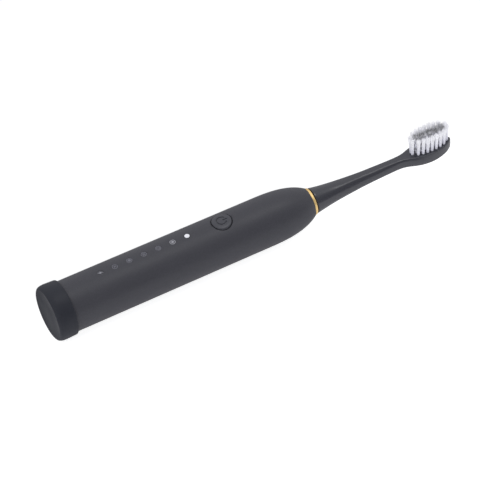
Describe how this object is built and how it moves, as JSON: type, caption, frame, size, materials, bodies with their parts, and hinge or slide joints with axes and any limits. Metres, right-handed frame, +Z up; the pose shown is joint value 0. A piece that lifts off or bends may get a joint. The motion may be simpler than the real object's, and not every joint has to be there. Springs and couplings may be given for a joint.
{
  "type": "electric toothbrush",
  "caption": "Sonic toothbrush lying on its back: tapered round handle with a rubber foot, mode lights, a push button, a gold ring and a fitted oval brush head.",
  "frame": {"origin": "on the ground under the middle of the length, below the brush's axis", "axes": "+X along the axis from the foot to the tip of the brush head, +Z up, the way the button and the bristles face"},
  "size_m": [0.2374, 0.0308, 0.0308],
  "materials": {
    "shell_paint": "soft satin, dark grey",
    "foot_rubber": "satin, near black",
    "seal_rubber": "matt black",
    "gold_metal": "polished gold colour",
    "window_clear": "clear with a white print",
    "button_soft": "soft satin, dark grey",
    "carrier_plastic": "natural white",
    "board_green": "solder mask",
    "chip_black": "moulded epoxy",
    "lamp_clear": "cast resin",
    "copper_wire": "enamelled winding wire",
    "ferrite": "sintered, dark",
    "cell_can": "nickel-plated can",
    "nickel": "nickel strip",
    "foam": "closed-cell foam",
    "steel": "ground",
    "spring_steel": "rolled",
    "magnet": "nickel-plated",
    "bearing_bronze": "sintered bronze",
    "wire_red": "insulation",
    "head_plastic": "satin, dark grey",
    "socket_plastic": "natural white",
    "bristle_white": "nylon, translucent white",
    "bristle_grey": "nylon, white with grey ends"
  },
  "bodies": {
    "handle": {"handle_shell": "shell_paint", "end_cap": "foot_rubber", "neck_ring": "gold_metal", "mode_windows": "window_clear", "charge_window": "window_clear", "button_seal": "seal_rubber", "base_plug": "carrier_plastic", "base_o_ring": "seal_rubber", "coil_core": "ferrite", "coil_bobbin": "carrier_plastic", "charging_coil": "copper_wire", "coil_leads": "wire_red", "chassis": "carrier_plastic", "battery_cell": "cell_can", "battery_tabs": "nickel", "battery_pad": "foam", "circuit_board": "board_green", "board_screws": "steel", "board_chips": "chip_black", "indicator_lights": "lamp_clear", "light_guide": "chip_black", "button_switch": "chip_black", "motor_leads": "wire_red", "motor_can": "cell_can", "rear_bearing": "bearing_bronze", "front_bearing": "bearing_bronze", "stator_yoke": "steel", "stator_coil": "copper_wire", "centring_spring": "spring_steel", "motor_damper": "seal_rubber", "shaft_seal": "seal_rubber"},
    "drive": {"drive_shaft": "steel", "rotor_core": "steel", "rotor_magnets": "magnet"},
    "head": {"brush_head": "head_plastic", "shaft_socket": "socket_plastic", "socket_clip": "spring_steel", "outer_tufts": "bristle_white", "inner_tufts": "bristle_grey"},
    "button": {"power_button": "button_soft"},
    "plunger": {"switch_plunger": "lamp_clear"}
  },
  "joints": [
    {"name": "shaft_swing", "type": "hinge", "parent": "handle", "child": "drive", "pos_m": [0, 0, 0.0154], "axis": [1, 0, 0], "range_deg": [-5, 5], "stiffness_Nm_per_rad": 0.05, "deforming": ["centring_spring"]},
    {"name": "head_pull", "type": "slide", "parent": "drive", "child": "head", "axis": [1, 0, 0], "range_m": [0, 0.025]},
    {"name": "button_press", "type": "slide", "parent": "handle", "child": "button", "axis": [0, 0, -1], "range_m": [0, 0.0004], "stiffness_N_per_m": 400, "springref_m": -0.0005, "deforming": ["button_seal"]},
    {"name": "plunger_press", "type": "slide", "parent": "handle", "child": "plunger", "axis": [0, 0, -1], "range_m": [0, 0.0004]}
  ],
  "couplings": [
    {"joint": "plunger_press", "follows": "button_press", "ratio": 1}
  ]
}
